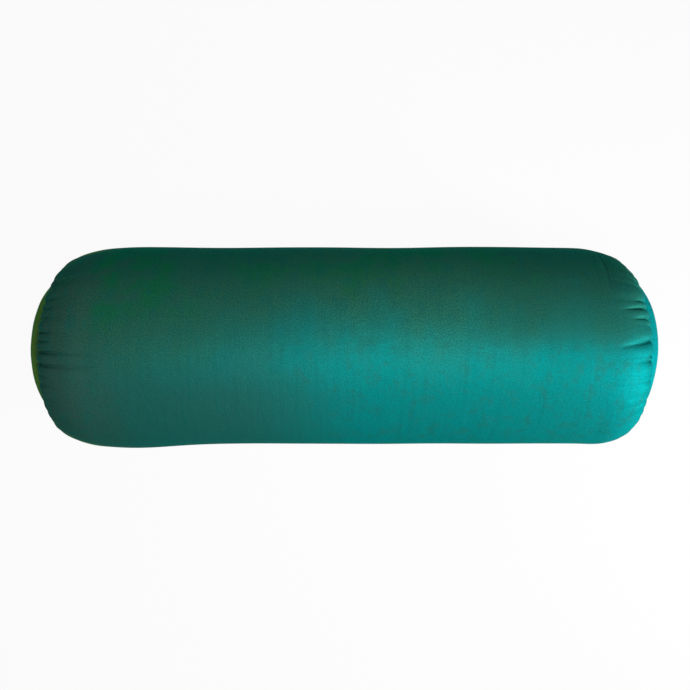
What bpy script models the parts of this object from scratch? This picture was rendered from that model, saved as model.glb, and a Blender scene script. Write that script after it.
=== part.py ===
"""Round yoga bolster, in metres with +Z up.

The bolster lies along X on its settled underside, with the origin on the floor under its middle.
A cotton cover is gathered into two round end panels, and a zip closes its lengthwise seam low on
the back. Inside it are a calico liner and the packed filling, each a layer inside the last.
"""

import math
from collections import namedtuple

import bmesh
import bpy
from mathutils import Vector

# Shape of the stuffed cover
body_radius = 0.115
seam_half_length = 0.3245
shoulder_length = 0.050
shoulder_drop = 0.0265
end_bulge = 0.0214
dome_power = 6
pleat_height = 0.0022
settle_depth = 0.007
settle_blend = 0.003

# Cloth, seams and the air between neighbouring pieces
cloth_thickness = 0.0009
seam_allowance = 0.010
liner_thickness = 0.0005
liner_setback = 0.002
liner_draw_in = 0.0015
liner_lip = 0.004
air_gap = 0.0003

# Zip: its place round the body, its tapes and its two rows of teeth
zip_angle_deg = 110.0
zip_setback = 0.0425
recess_margin = 0.005
tape_overhang = 0.012
tape_width = 0.014
tape_thickness = 0.0005
tooth_pitch = 0.004
tooth_width = 0.0022
tooth_length = 0.0014
tooth_height = 0.0018
spine_width = 0.0013
stop_length = 0.003
stop_margin = 0.001
stop_round = 0.0003

# Slider
slider_length = 0.012
post_thickness = 0.001
post_length = 0.0022
post_setback = 0.0008
plate_thickness = 0.0011
flange_thickness = 0.001
slot_clearance = 0.0007
plate_corner = 0.0016
crown_width = 0.0016
crown_inner_radius = 0.00135
crown_thickness = 0.00105
pivot_height = 0.00115
weld_overrun = 0.0002

# Pull tab
tab_length = 0.022
tab_width = 0.006
tab_waist = 0.0046
tab_thickness = 0.001
tab_bar_length = 0.0012
tab_window_length = 0.0038
tab_window_width = 0.0032
tab_round = 0.0002

# Facets
ring_count = 52
shoulder_steps = 3
dome_shares = (0.5, 0.75, 0.9)
tab_end_steps = 8
crown_steps = 8
smooth_angle_deg = 35.0

# Sizes that follow from the ones above
axis_height = body_radius - settle_depth
seam_ring_radius = body_radius - shoulder_drop
shoulder_start = seam_half_length - shoulder_length
zip_angle = math.radians(zip_angle_deg)

channel_half = post_thickness / 2 + air_gap
row_half_width = channel_half + tooth_length + spine_width
slider_half_width = row_half_width + air_gap + flange_thickness
slot_half_width = slider_half_width + slot_clearance
slot_half_angle = math.asin(slot_half_width / body_radius)
ring_step = (2 * math.pi - 2 * slot_half_angle) / (ring_count - 1)
ring_angles = [zip_angle + slot_half_angle + ring_step * k for k in range(ring_count)]

recess_half_length = shoulder_start - zip_setback
tape_half_length = recess_half_length - recess_margin
slot_half_length = tape_half_length - tape_overhang
row_half_length = slot_half_length - stop_margin - stop_length - air_gap
tape_angle = (channel_half + tape_width) / body_radius
zip_recess = tape_thickness + plate_thickness + 2 * air_gap

liner_inset = cloth_thickness + air_gap
filling_inset = liner_inset + liner_thickness + air_gap
liner_end_x = seam_half_length - seam_allowance - liner_setback
panel_rim_radius = seam_ring_radius - air_gap
liner_lip_radius = panel_rim_radius - cloth_thickness - air_gap - liner_draw_in
liner_rim_radius = liner_lip_radius - liner_thickness - air_gap
filling_neck_radius = liner_rim_radius - liner_thickness - air_gap

# Heights above the bolster's axis, on the flat between the two edges of the zip's slot
slot_flat = math.cos(slot_half_angle)
tape_top = (body_radius - liner_inset) * slot_flat
tape_bottom = tape_top - tape_thickness * slot_flat
row_bottom = tape_top + air_gap
row_top = row_bottom + tooth_height
top_plate_bottom = row_top + air_gap
top_plate_top = top_plate_bottom + plate_thickness
bottom_plate_top = tape_bottom - air_gap
bottom_plate_bottom = bottom_plate_top - plate_thickness * slot_flat
pivot_above_axis = top_plate_top + pivot_height
slider_rest_x = row_half_length - slider_length / 2

# A ring of the cloth: its place and radius, how far inside the cover it lies, how much it gives way
# to the zip, and how far every other point of it stands up as the crest of a pleat
Station = namedtuple("Station", "x radius inset recess crest_x crest_radius", defaults=(0.0,) * 4)


def clear_scene():
    for old in list(bpy.data.objects):
        bpy.data.objects.remove(old, do_unlink=True)


def make_material(name, color, roughness, metallic=0.0):
    material = bpy.data.materials.new(name)
    material.use_nodes = True
    shader = material.node_tree.nodes["Principled BSDF"]
    shader.inputs["Base Color"].default_value = (*color, 1.0)
    shader.inputs["Roughness"].default_value = roughness
    shader.inputs["Metallic"].default_value = metallic
    material.diffuse_color = (*color, 1.0)
    return material


def make_frame(name, location, rotation=(0.0, 0.0, 0.0), parent=None):
    empty = bpy.data.objects.new(name, None)
    empty.location = location
    empty.rotation_euler = rotation
    empty.parent = parent
    bpy.context.scene.collection.objects.link(empty)
    return empty


def make_object(name, bm, material, parent=None, smooth=True):
    bmesh.ops.recalc_face_normals(bm, faces=bm.faces)
    mesh = bpy.data.meshes.new(name)
    bm.to_mesh(mesh)
    bm.free()
    if smooth:
        mesh.shade_smooth()
        mesh.set_sharp_from_angle(angle=math.radians(smooth_angle_deg))
    mesh.materials.append(material)
    piece = bpy.data.objects.new(name, mesh)
    piece.parent = parent
    bpy.context.scene.collection.objects.link(piece)
    return piece


def make_prism(name, outline, offset, material, parent=None):
    bm = bmesh.new()
    bottom = [bm.verts.new(point) for point in outline]
    top = [bm.verts.new(Vector(point) + Vector(offset)) for point in outline]
    bm.faces.new(bottom)
    bm.faces.new(top)
    for k, start in enumerate(bottom):
        after = (k + 1) % len(outline)
        bm.faces.new([start, bottom[after], top[after], top[k]])
    return make_object(name, bm, material, parent, smooth=False)


def make_box(name, low, high, material, parent=None):
    outline = [
        (low[0], low[1], low[2]),
        (high[0], low[1], low[2]),
        (high[0], high[1], low[2]),
        (low[0], high[1], low[2]),
    ]
    return make_prism(name, outline, (0.0, 0.0, high[2] - low[2]), material, parent)


def round_edges(piece, width, segments=2):
    bevel = piece.modifiers.new("rounded edges", "BEVEL")
    bevel.width = width
    bevel.segments = segments
    bevel.limit_method = "ANGLE"


def join_to(piece, operand, operation="UNION"):
    operand.hide_render = True
    operand.display_type = "WIRE"
    boolean = piece.modifiers.new(operation.lower(), "BOOLEAN")
    boolean.operation = operation
    boolean.solver = "EXACT"
    boolean.object = operand


def smooth_max(a, b, blend):
    """The larger of two heights, rounded over where they are within the blend of each other."""
    overlap = max(blend - abs(a - b), 0.0)
    return max(a, b) + overlap * overlap / (4 * blend)


def is_under_tape(k):
    """True where the ring's point, or its neighbour towards the zip, lies under a zip tape."""
    turn = (ring_angles[k] - zip_angle) % (2 * math.pi)
    turn = min(turn, 2 * math.pi - turn)
    return turn - ring_step < tape_angle


def cloth_point(station, k):
    """Point k of a ring, with its pleat, its recess under the zip and its settled underside."""
    x = station.x
    radius = station.radius
    if k % 2 == 0:
        x += station.crest_x
        radius += station.crest_radius
    if is_under_tape(k):
        radius -= station.recess
    y = radius * math.sin(ring_angles[k])
    z = axis_height + radius * math.cos(ring_angles[k])
    return Vector((x, y, smooth_max(z, station.inset, settle_blend)))


def mirrored(stations):
    """The same stations at the other end of the bolster, in reverse order."""
    return [s._replace(x=-s.x, crest_x=-s.crest_x) for s in reversed(stations)]


def add_ring(bm, station):
    if station.radius == 0.0:
        return [bm.verts.new((station.x, 0.0, axis_height))] * ring_count
    return [bm.verts.new(cloth_point(station, k)) for k in range(ring_count)]


def add_band(bm, ring, other, slotted=False):
    """Faces between two rings, without the one in the zip's slot where the band is slotted.

    Each face starts at the ring with the lower x, so that every layer's faces split the same way.
    """
    low, high = sorted((ring, other), key=lambda points: points[0].co.x)
    for k in range(ring_count):
        after = (k + 1) % ring_count
        if slotted and after == 0:
            continue
        corners = dict.fromkeys([low[k], low[after], high[after], high[k]])
        bm.faces.new(list(corners))


def add_slot_walls(bm, outer_left, outer_right, inner_left, inner_right):
    """The cloth's cut edge round the zip's slot."""
    for k in (0, ring_count - 1):
        bm.faces.new([outer_left[k], outer_right[k], inner_right[k], inner_left[k]])
    for outer, inner in ((outer_left, inner_left), (outer_right, inner_right)):
        bm.faces.new([outer[0], outer[-1], inner[-1], inner[0]])


def shoulder_station(inset, step, pleat=0.0):
    """A ring on the rounded shoulder, from step 0 at the straight body to the last at the seam."""
    turn = math.pi / 2 * step / shoulder_steps
    along = shoulder_length - inset
    across = shoulder_drop - inset
    normal = Vector((math.sin(turn) / along, math.cos(turn) / across)).normalized()
    crest = pleat * math.sin(turn) ** 2
    return Station(
        shoulder_start + along * math.sin(turn),
        seam_ring_radius + across * math.cos(turn),
        inset,
        0.0,
        normal.x * crest,
        normal.y * crest,
    )


def dome_stations(base_x, rim_radius, bulge):
    """Rings of a stuffed end, from the rim inwards, and its middle on the axis."""
    rings = [
        Station(base_x + bulge * (1 - share**dome_power), rim_radius * share)
        for share in reversed(dome_shares)
    ]
    return rings + [Station(base_x + bulge, 0.0)]


def make_cover_body(material):
    """The gathered tube. Its ends turn in as seam allowances, and the zip's slot is left open."""
    outside = [Station(slot_half_length, body_radius)]
    for step in range(shoulder_steps + 1):
        outside.append(shoulder_station(0.0, step, pleat_height))
    outside.append(Station(seam_half_length - seam_allowance, seam_ring_radius))

    fold_radius = seam_ring_radius + cloth_thickness
    inside = [
        Station(seam_half_length - seam_allowance, fold_radius),
        Station(seam_half_length - cloth_thickness, fold_radius),
    ]
    for step in reversed(range(shoulder_steps)):
        inside.append(shoulder_station(cloth_thickness, step))
    inside.append(Station(slot_half_length, body_radius - cloth_thickness, cloth_thickness))

    bm = bmesh.new()
    half = [add_ring(bm, station) for station in outside + inside]
    other_half = [add_ring(bm, station) for station in mirrored(outside + inside)]
    rings = half + other_half
    for i, ring in enumerate(rings):
        slotted = i in (len(half) - 1, len(rings) - 1)
        add_band(bm, ring, rings[(i + 1) % len(rings)], slotted)
    add_slot_walls(bm, rings[-1], rings[0], rings[len(half)], rings[len(half) - 1])
    return make_object("cover_body_panel", bm, material)


def make_end_panel(name, rim_x, rim_radius, bulge, thickness, flange, side, material):
    """A round panel domed by the filling, with its edge turned in as a flange."""
    outside = list(reversed(dome_stations(rim_x, rim_radius, bulge)))
    outside += [Station(rim_x, rim_radius), Station(rim_x - flange, rim_radius)]
    inner_radius = rim_radius - thickness
    inner_x = rim_x - thickness
    inside = [Station(rim_x - flange, inner_radius), Station(inner_x, inner_radius)]
    inside += dome_stations(inner_x, inner_radius, bulge)
    stations = outside + inside
    if side < 0:
        stations = mirrored(stations)
    bm = bmesh.new()
    rings = [add_ring(bm, station) for station in stations]
    for ring, other in zip(rings, rings[1:]):
        add_band(bm, ring, other)
    return make_object(name, bm, material)


def make_liner_body(material):
    """The calico tube: it gives way under the zip and ends in a short lip round each liner end."""
    outside = [
        Station(recess_half_length, body_radius - liner_inset, liner_inset, zip_recess),
        Station(shoulder_start, body_radius - liner_inset, liner_inset),
        shoulder_station(liner_inset, 1),
        Station(liner_end_x - liner_lip, liner_lip_radius),
        Station(liner_end_x, liner_lip_radius),
    ]
    inset = liner_inset + liner_thickness
    lip_inside = liner_lip_radius - liner_thickness
    inside = [
        Station(liner_end_x, lip_inside),
        Station(liner_end_x - liner_lip - liner_thickness, lip_inside),
        shoulder_station(inset, 1),
        Station(shoulder_start, body_radius - inset, inset),
        Station(recess_half_length, body_radius - inset, inset, zip_recess),
    ]
    bm = bmesh.new()
    rings = [add_ring(bm, s) for s in outside + inside + mirrored(outside + inside)]
    for i, ring in enumerate(rings):
        add_band(bm, ring, rings[(i + 1) % len(rings)])
    return make_object("liner_body", bm, material)


def make_filling(material):
    neck_x = liner_end_x - liner_lip - liner_thickness - air_gap
    tip = seam_half_length + end_bulge - cloth_thickness - liner_thickness - 2 * air_gap
    half = [
        Station(recess_half_length, body_radius - filling_inset, filling_inset, zip_recess),
        Station(shoulder_start, body_radius - filling_inset, filling_inset),
        shoulder_station(filling_inset, 1),
        Station(neck_x, filling_neck_radius),
        Station(liner_end_x - liner_thickness - air_gap, filling_neck_radius),
    ]
    dome_base = liner_end_x - liner_thickness - air_gap
    half += dome_stations(dome_base, filling_neck_radius, tip - dome_base)
    bm = bmesh.new()
    rings = [add_ring(bm, station) for station in mirrored(half) + half]
    for ring, other in zip(rings, rings[1:]):
        add_band(bm, ring, other)
    return make_object("filling", bm, material)


def facet_radius(radius, turn):
    """Radius, at a turn away from the zip, of the flat facets that stand in for a round layer."""
    if turn <= slot_half_angle:
        return radius * math.cos(slot_half_angle) / math.cos(turn)
    beyond = (turn - slot_half_angle) % ring_step
    return radius * math.cos(ring_step / 2) / math.cos(beyond - ring_step / 2)


def make_zip_tape(name, side, zip_frame, material):
    """A tape that lies against the inside of the cover, from the zip's channel outwards."""
    turns = [channel_half / body_radius]
    turn = slot_half_angle
    while turn < tape_angle:
        turns.append(turn)
        turn += ring_step
    turns.append(tape_angle)
    outline = []
    for inset, order in ((liner_inset, turns), (liner_inset + tape_thickness, turns[::-1])):
        for turn in order:
            radius = facet_radius(body_radius - inset, turn)
            across = side * radius * math.sin(turn)
            outline.append((-tape_half_length, across, radius * math.cos(turn)))
    return make_prism(name, outline, (2 * tape_half_length, 0.0, 0.0), material, zip_frame)


def make_zip_row(name, side, shift, zip_frame, material):
    """One row: a spine with a tooth at each pitch, moved along by the shift."""
    count = math.floor((2 * row_half_length - tooth_pitch / 2) / tooth_pitch)
    spine = channel_half + tooth_length
    outline = [(-row_half_length, side * row_half_width, row_bottom)]
    outline.append((-row_half_length, side * spine, row_bottom))
    first = -count * tooth_pitch / 2 - tooth_pitch / 4 + shift
    for i in range(count):
        left = first + tooth_pitch * i + (tooth_pitch - tooth_width) / 2
        right = left + tooth_width
        outline.append((left, side * spine, row_bottom))
        outline.append((left, side * channel_half, row_bottom))
        outline.append((right, side * channel_half, row_bottom))
        outline.append((right, side * spine, row_bottom))
    outline.append((row_half_length, side * spine, row_bottom))
    outline.append((row_half_length, side * row_half_width, row_bottom))
    return make_prism(name, outline, (0.0, 0.0, tooth_height), material, zip_frame)


def make_stops(zip_frame, material):
    """One stop across both rows at the far end, and one on each tape where the zip closes."""
    far = row_half_length + air_gap
    bottom = make_box(
        "zip_bottom_stop",
        (-far - stop_length, -row_half_width, row_bottom),
        (-far, row_half_width, row_top),
        material,
        zip_frame,
    )
    upper = make_box(
        "zip_top_stop_upper",
        (far, -row_half_width, row_bottom),
        (far + stop_length, -channel_half, row_top),
        material,
        zip_frame,
    )
    lower = make_box(
        "zip_top_stop_lower",
        (far, channel_half, row_bottom),
        (far + stop_length, row_half_width, row_top),
        material,
        zip_frame,
    )
    for stop in (bottom, upper, lower):
        round_edges(stop, stop_round)


def plate_outline(height):
    """The slider's plate from above, with its corners cut."""
    x = slider_length / 2
    y = slider_half_width
    return [
        (x, y - plate_corner, height),
        (x - plate_corner, y, height),
        (plate_corner - x, y, height),
        (-x, y - plate_corner, height),
        (-x, plate_corner - y, height),
        (plate_corner - x, -y, height),
        (x - plate_corner, -y, height),
        (x, plate_corner - y, height),
    ]


def crown_outline():
    """The arch that holds the pull tab, seen from the side, round the tab's pivot."""
    foot = top_plate_top - weld_overrun
    outer = crown_inner_radius + crown_thickness
    points = [(outer, foot)]
    for i in range(crown_steps + 1):
        turn = math.pi * i / crown_steps
        points.append((outer * math.cos(turn), pivot_above_axis + outer * math.sin(turn)))
    points += [(-outer, foot), (-crown_inner_radius, foot)]
    for i in reversed(range(crown_steps + 1)):
        turn = math.pi * i / crown_steps
        height = pivot_above_axis + crown_inner_radius * math.sin(turn)
        points.append((crown_inner_radius * math.cos(turn), height))
    points.append((crown_inner_radius, foot))
    return [(x, -crown_width / 2, height) for x, height in points]


def make_slider(slider_frame, material):
    """Two plates joined by a post between the rows, with side flanges and a crown on top."""
    top_size = (0.0, 0.0, plate_thickness)
    slider = make_prism("zip_slider", plate_outline(top_plate_bottom), top_size, material, slider_frame)
    bottom_size = (0.0, 0.0, bottom_plate_top - bottom_plate_bottom)
    bottom = make_prism("slider bottom plate", plate_outline(bottom_plate_bottom), bottom_size, material,
                        slider_frame)
    post_front = slider_length / 2 - post_setback
    post = make_box(
        "slider post",
        (post_front - post_length, -post_thickness / 2, bottom_plate_top - weld_overrun),
        (post_front, post_thickness / 2, top_plate_bottom + weld_overrun),
        material,
        slider_frame,
    )
    crown = make_prism("slider crown", crown_outline(), (0.0, crown_width, 0.0), material, slider_frame)
    parts = [post, bottom, crown]
    flange_half_length = slider_length / 2 - plate_corner
    for side in (-1, 1):
        near = side * (slider_half_width - flange_thickness)
        far = side * slider_half_width
        parts.append(
            make_box(
                "slider flange",
                (-flange_half_length, min(near, far), tape_top + air_gap),
                (flange_half_length, max(near, far), top_plate_bottom + weld_overrun),
                material,
                slider_frame,
            )
        )
    for part in parts:
        join_to(slider, part)
    return slider


def tab_outline():
    """The pull tab from above, from its bar at the pivot to its round end towards -X."""
    bar = tab_bar_length / 2
    window_end = -bar - tab_window_length
    end_radius = tab_width / 2
    end_x = -tab_length + end_radius
    side = [(bar, tab_width / 2), (window_end, tab_width / 2)]
    side.append(((window_end + end_x) / 2, tab_waist / 2))
    for i in range(tab_end_steps + 1):
        turn = math.pi / 2 + math.pi * i / tab_end_steps
        side.append((end_x + end_radius * math.cos(turn), end_radius * math.sin(turn)))
    side += [((window_end + end_x) / 2, -tab_waist / 2), (window_end, -tab_width / 2)]
    side.append((bar, -tab_width / 2))
    return [(x, y, -tab_thickness / 2) for x, y in side]


def make_pull_tab(tab_frame, material):
    tab = make_prism("zip_pull_tab", tab_outline(), (0.0, 0.0, tab_thickness), material, tab_frame)
    window = make_box(
        "tab window",
        (-tab_bar_length / 2 - tab_window_length, -tab_window_width / 2, -tab_thickness),
        (-tab_bar_length / 2, tab_window_width / 2, tab_thickness),
        material,
        tab_frame,
    )
    join_to(tab, window, "DIFFERENCE")
    round_edges(tab, tab_round, 1)
    return tab


def main():
    clear_scene()
    cotton = make_material("teal_cotton", (0.004, 0.25, 0.24), 0.85)
    tape_weave = make_material("zip_tape_weave", (0.006, 0.17, 0.16), 0.8)
    teeth_plastic = make_material("zip_teeth_plastic", (0.01, 0.14, 0.13), 0.45)
    zip_metal = make_material("zip_metal", (0.5, 0.48, 0.44), 0.3, 1.0)
    calico = make_material("calico", (0.72, 0.66, 0.54), 0.9)
    fibre = make_material("filling_fibre", (0.8, 0.78, 0.72), 0.95)

    make_cover_body(cotton)
    for name, side in (("left", -1), ("right", 1)):
        make_end_panel(
            f"cover_end_panel_{name}",
            seam_half_length,
            panel_rim_radius,
            end_bulge,
            cloth_thickness,
            seam_allowance,
            side,
            cotton,
        )
        make_end_panel(
            f"liner_end_{name}",
            liner_end_x,
            liner_rim_radius,
            seam_half_length + end_bulge - cloth_thickness - air_gap - liner_end_x,
            liner_thickness,
            liner_lip,
            side,
            calico,
        )
    make_liner_body(calico)
    make_filling(fibre)

    zip_frame = make_frame("zip frame", (0.0, 0.0, axis_height), (-zip_angle, 0.0, 0.0))
    for name, side in (("upper", -1), ("lower", 1)):
        make_zip_tape(f"zip_tape_{name}", side, zip_frame, tape_weave)
        shift = tooth_pitch / 2 if side > 0 else 0.0
        make_zip_row(f"zip_teeth_{name}", side, shift, zip_frame, teeth_plastic)
    make_stops(zip_frame, zip_metal)
    slider_frame = make_frame("slider frame", (slider_rest_x, 0.0, 0.0), parent=zip_frame)
    make_slider(slider_frame, zip_metal)
    tab_frame = make_frame("tab frame", (0.0, 0.0, pivot_above_axis), parent=slider_frame)
    make_pull_tab(tab_frame, zip_metal)


main()
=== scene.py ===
"""The round yoga bolster dressed for the photo, in metres, in the frame of its solids.

The cover is remade as real cloth: a tube whose ends are gathered into two puffed end panels, with
folded edges and stitching along the zip. Angles round the bolster run from the top towards +Y.
"""

import math
import random
from collections import namedtuple

import bmesh
import bpy
import numpy as np
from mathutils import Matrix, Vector
from mathutils.bvhtree import BVHTree


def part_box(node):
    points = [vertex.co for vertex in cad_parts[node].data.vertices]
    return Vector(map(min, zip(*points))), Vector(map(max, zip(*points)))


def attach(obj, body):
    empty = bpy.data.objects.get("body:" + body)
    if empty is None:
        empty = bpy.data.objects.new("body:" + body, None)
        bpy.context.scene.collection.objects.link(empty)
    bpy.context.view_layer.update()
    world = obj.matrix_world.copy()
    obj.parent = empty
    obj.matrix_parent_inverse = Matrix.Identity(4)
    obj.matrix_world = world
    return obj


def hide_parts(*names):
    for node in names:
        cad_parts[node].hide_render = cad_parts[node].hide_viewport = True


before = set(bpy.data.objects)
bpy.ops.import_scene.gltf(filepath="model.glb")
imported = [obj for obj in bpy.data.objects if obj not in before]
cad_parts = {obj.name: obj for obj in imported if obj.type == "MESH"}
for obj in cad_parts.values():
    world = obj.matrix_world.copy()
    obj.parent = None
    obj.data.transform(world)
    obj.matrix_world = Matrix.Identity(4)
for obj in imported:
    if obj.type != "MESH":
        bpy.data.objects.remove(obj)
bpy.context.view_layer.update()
scene = bpy.context.scene

# Shape of the stuffed cover, the same sizes as in the solids
body_radius = 0.115
axis_height = 0.108
seam_allowance = 0.010
shoulder_length = 0.050
shoulder_drop = 0.0265
dome_power = 6
settle_blend = 0.003
zip_angle = math.radians(110.0)
axis_place = np.array([0.0, axis_height])

# Places read from the solids
panel_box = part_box("cover_end_panel_right")
seam_x = panel_box[0].x + seam_allowance
end_bulge = panel_box[1].x - seam_x
seam_radius = body_radius - shoulder_drop
shoulder_x = seam_x - shoulder_length
tape_overhang = 0.012
slot_half_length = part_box("zip_tape_upper")[1].x - tape_overhang
slot_half_width = 0.0055

# Cloth: its folded edges, the seam that closes the tube beyond the zip, and the end seams
fold_radius = 0.00045
hem_width = 0.009
hem_middle = 0.4
seam_gap = 0.0001
slot_end_length = 0.006
edge_round = 0.0005
panel_gap = 0.0002
panel_turn = math.radians(35.0)
valley_depth = 0.0010
valley_width = 0.0035
pinch_share = 0.25
pinch_length = 0.008

# Steps of the cover's cloth along its middle, before the shoulder and round it, and its columns
middle_steps = 9
near_steps = 11
shoulder_steps = 21
shoulder_grading = 1.3
near_share = 0.73
curve_steps = 400
fold_columns = (0.0, 0.13, 0.36, 0.64, 0.87)

# Gathers: each crease of an end as its angle from the top in degrees, its length, its depth and
# how far it leans from the seam to its tip in degrees. The photo shows these; the rest are spread
# evenly between them.
Crease = namedtuple("Crease", "angle length depth lean")
right_creases = [Crease(*row) for row in (
    (-77.0, 0.036, 0.0030, 1.0),
    (-10.6, 0.032, 0.0031, 1.8),
    (-6.6, 0.020, 0.0028, 0.0),
    (3.2, 0.058, 0.0040, -4.4),
    (11.4, 0.020, 0.0030, 0.0),
    (17.0, 0.040, 0.0031, -2.8),
    (24.2, 0.050, 0.0032, -5.4),
    (29.4, 0.034, 0.0027, -4.6),
    (68.0, 0.034, 0.0026, -2.0),
)]
left_creases = [Crease(*row) for row in (
    (-80.0, 0.032, 0.0028, 2.0),
    (-24.7, 0.036, 0.0022, 0.0),
    (-18.6, 0.028, 0.0020, 0.0),
    (-12.0, 0.092, 0.0029, 0.6),
    (-4.5, 0.080, 0.0030, 0.4),
    (2.4, 0.032, 0.0028, 0.0),
    (7.9, 0.036, 0.0030, -0.8),
    (17.0, 0.026, 0.0024, -1.0),
    (23.0, 0.030, 0.0024, -1.5),
    (29.0, 0.034, 0.0024, -2.0),
    (41.0, 0.040, 0.0022, -2.0),
)]
creases_per_end = 52

# Limits between which the creases that aren't listed are drawn
drawn_length = (0.014, 0.034)
drawn_depth = (0.0007, 0.0019)
drawn_lean = 1.2
drawn_shift = 0.25
long_share = 0.14
long_factor = 2.0

# The two ends, with the seeds of their random draws
End = namedtuple("End", "name side creases crease_seed gather_seed panel_seed liner_seed")
right_end = End("right", 1, right_creases, 5, 3, 21, 43)
left_end = End("left", -1, left_creases, 11, 4, 23, 47)

# How the gathers swell between their creases and fade away from the seam
seam_rise = 0.0011
seam_reach = 0.022
fold_puff = 0.0011
fold_puff_length = 0.011
puff_power = 1.1
puff_spread = (0.7, 1.3)
reach_spread = (0.8, 1.4)
crease_core = 0.0013
crease_spread = 0.04
crease_fade = 1.1
crease_sides = 1.5
slit_core = 0.0007
slit_spread = 0.012
gather_excess = 0.14
gather_reach = 0.022

# Unevenness of the stuffing: place along, angle in degrees, half size along and around, and height
Lump = namedtuple("Lump", "x angle size_x size_around height")
lumps = [Lump(*row) for row in (
    (-0.240, -82.0, 0.055, 0.060, 0.0050),
    (-0.190, 85.0, 0.060, 0.060, 0.0010),
    (-0.295, 70.0, 0.030, 0.050, -0.0028),
    (0.300, 66.0, 0.026, 0.050, -0.0030),
    (0.300, -70.0, 0.025, 0.050, 0.0020),
    (0.0, -85.0, 0.260, 0.050, 0.0020),
)]
waves_per_field = 14
wave_spread = (0.6, 1.6)
zip_ease = 0.03
seam_ease = 0.012
end_slant = 0.045
slant_start = 0.19

# Waves in the body's cloth and in an end panel's: height, size, and seed, to which a panel adds its own
body_waves = ((0.0006, 0.11, 1), (0.0002, 0.035, 2))
panel_waves = ((0.0010, 0.06, 0), (0.0003, 0.02, 1))

# A soft fold across the right shoulder, from one place along and angle to another, and its lip
shoulder_fold = ((0.2895, 70.0), (0.2790, 24.0))
shoulder_fold_depth = 0.0013
shoulder_fold_width = 0.0026
lip_height = 0.35
lip_place = 1.8
lip_width = 1.5

# End panels: rows from the rim in, and the puckers that the seam makes
panel_columns = 3
panel_steps = 20
panel_grading = 1.7
panel_tip_shares = [0.045, 0.018]
pucker_height = 0.0007
pucker_spread = (0.2, 1.0)
pucker_rise = 0.002
pucker_reach = 0.009
wave_ease = 0.015

# Stuffing simulation
stuffing_frames = 18
cloth_settings = {
    "quality": 6,
    "mass": 0.01,
    "tension_stiffness": 400,
    "compression_stiffness": 400,
    "shear_stiffness": 60,
    "bending_stiffness": 0.02,
    "tension_damping": 20,
    "compression_damping": 20,
    "shear_damping": 20,
    "bending_damping": 1,
    "air_damping": 2,
    "use_pressure": True,
    "uniform_pressure_force": 3.0,
}
body_cap = 0.0030
seam_cap_share = 0.12
panel_cap = 0.0030
panel_excess = 1.03
held_columns = 4
held_fade = 3
tiny = 1e-12

# Topstitching beside the zip, and the rings of a stitch: the share of its length, its height in
# thread radii and its thickness
stitch_length = 0.0030
stitch_space = 0.0007
stitch_inset = 0.0024
stitch_overrun = 0.4
thread_radius = 0.00022
thread_sides = 6
thread_rings = ((0.0, -0.6, 0.5), (0.08, 0.4, 0.9), (0.3, 0.9, 1.0),
                (0.7, 0.9, 1.0), (0.92, 0.4, 0.9), (1.0, -0.6, 0.5))
bartack_stitches = 9
bartack_step = 0.0006
bartack_inset = 0.0007
bartack_width = 0.003
ray_start = 1.2

# Zip, the same sizes as in the solids
channel_half = 0.0008
tooth_pitch = 0.004
tooth_width = 0.0022
tooth_length = 0.0014
tooth_height = 0.0018
spine_width = 0.0013
row_half_length = 0.2107
row_bottom = 0.11397

# Half a moulded tooth seen from outside, a neck that widens to a rounded head, as the share of its
# reach and of its half width, and its size at each share of its height
tooth_shape = ((0.0, 0.86), (0.35, 0.62), (0.62, 0.8), (0.8, 1.0), (0.94, 0.86), (1.0, 0.45))
tooth_levels = ((0.0, 0.92), (0.22, 1.0), (0.7, 1.0), (0.92, 0.88), (1.0, 0.66))
spine_sides = 12
spine_rings = 60
spine_level = 0.42

# Liner and filling under the cover
liner_inset = 0.0066
liner_end_gap = 0.002
liner_end_x = seam_x - seam_allowance - liner_end_gap
liner_rim = seam_radius - 0.007
liner_corner = 0.001
liner_tip_gap = 0.0035
liner_seed = 41
liner_unevenness = 0.0002
filling_inset = 0.0084
filling_gap = 0.003
filling_seed = 53
filling_unevenness = 0.0003
layer_columns = 72
layer_steps = 4
layer_shoulder_steps = 12
layer_dome_steps = 14
layer_dome_grading = 1.5
layer_tip_share = 0.02
layer_wave_size = 0.05

# Colour of the cotton: its tone runs from about 1 in front, where it is bluer, to 0 and below at the
# back and the left end, with soft clouds in it. The green of the back and the left end is painted shade,
# where the lamps reach least; the clouds bring the same green in random patches.
tone_slope = -9.0
axis_tone = 0.66
tone_limits = (-0.2, 1.1)
left_tone_start = 0.04
left_tone_slope = 2.0
cloud_strength = 1.6
blue_tones = (-0.1, 1.0)
shade_and_cloud_green = (0.05, 0.22, 0.118, 1)
teal_color = (0.0015, 0.27, 0.265, 1)

# Changes of the cotton's colour: a colour, its share, and the tones, the places along and back, and the
# values of a pattern over which it rises from nothing. The patches, streaks, nap and lint are the dye's
# own; the others are painted highlights, painted shade and a painted rim light.
DyeOrPaintedLight = namedtuple("DyeOrPaintedLight", "color share tones x y spots", defaults=(1.0, None, None, None, None))
# Painted highlights: lighter cloth at the front of the right end, along the front of the middle, and on
# the right end panel
painted_highlight = DyeOrPaintedLight((0.001, 0.36, 0.38, 1), 0.65, (0.4, 1.05), (0.22, 0.32))
painted_middle_highlight = DyeOrPaintedLight(painted_highlight.color, 1.0, (-0.15, 0.7), (-0.16, 0.02))
painted_middle_highlight_share = 0.28
painted_panel_highlight = DyeOrPaintedLight((0.001, 0.43, 0.47, 1), x=(0.30, 0.32))
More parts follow.
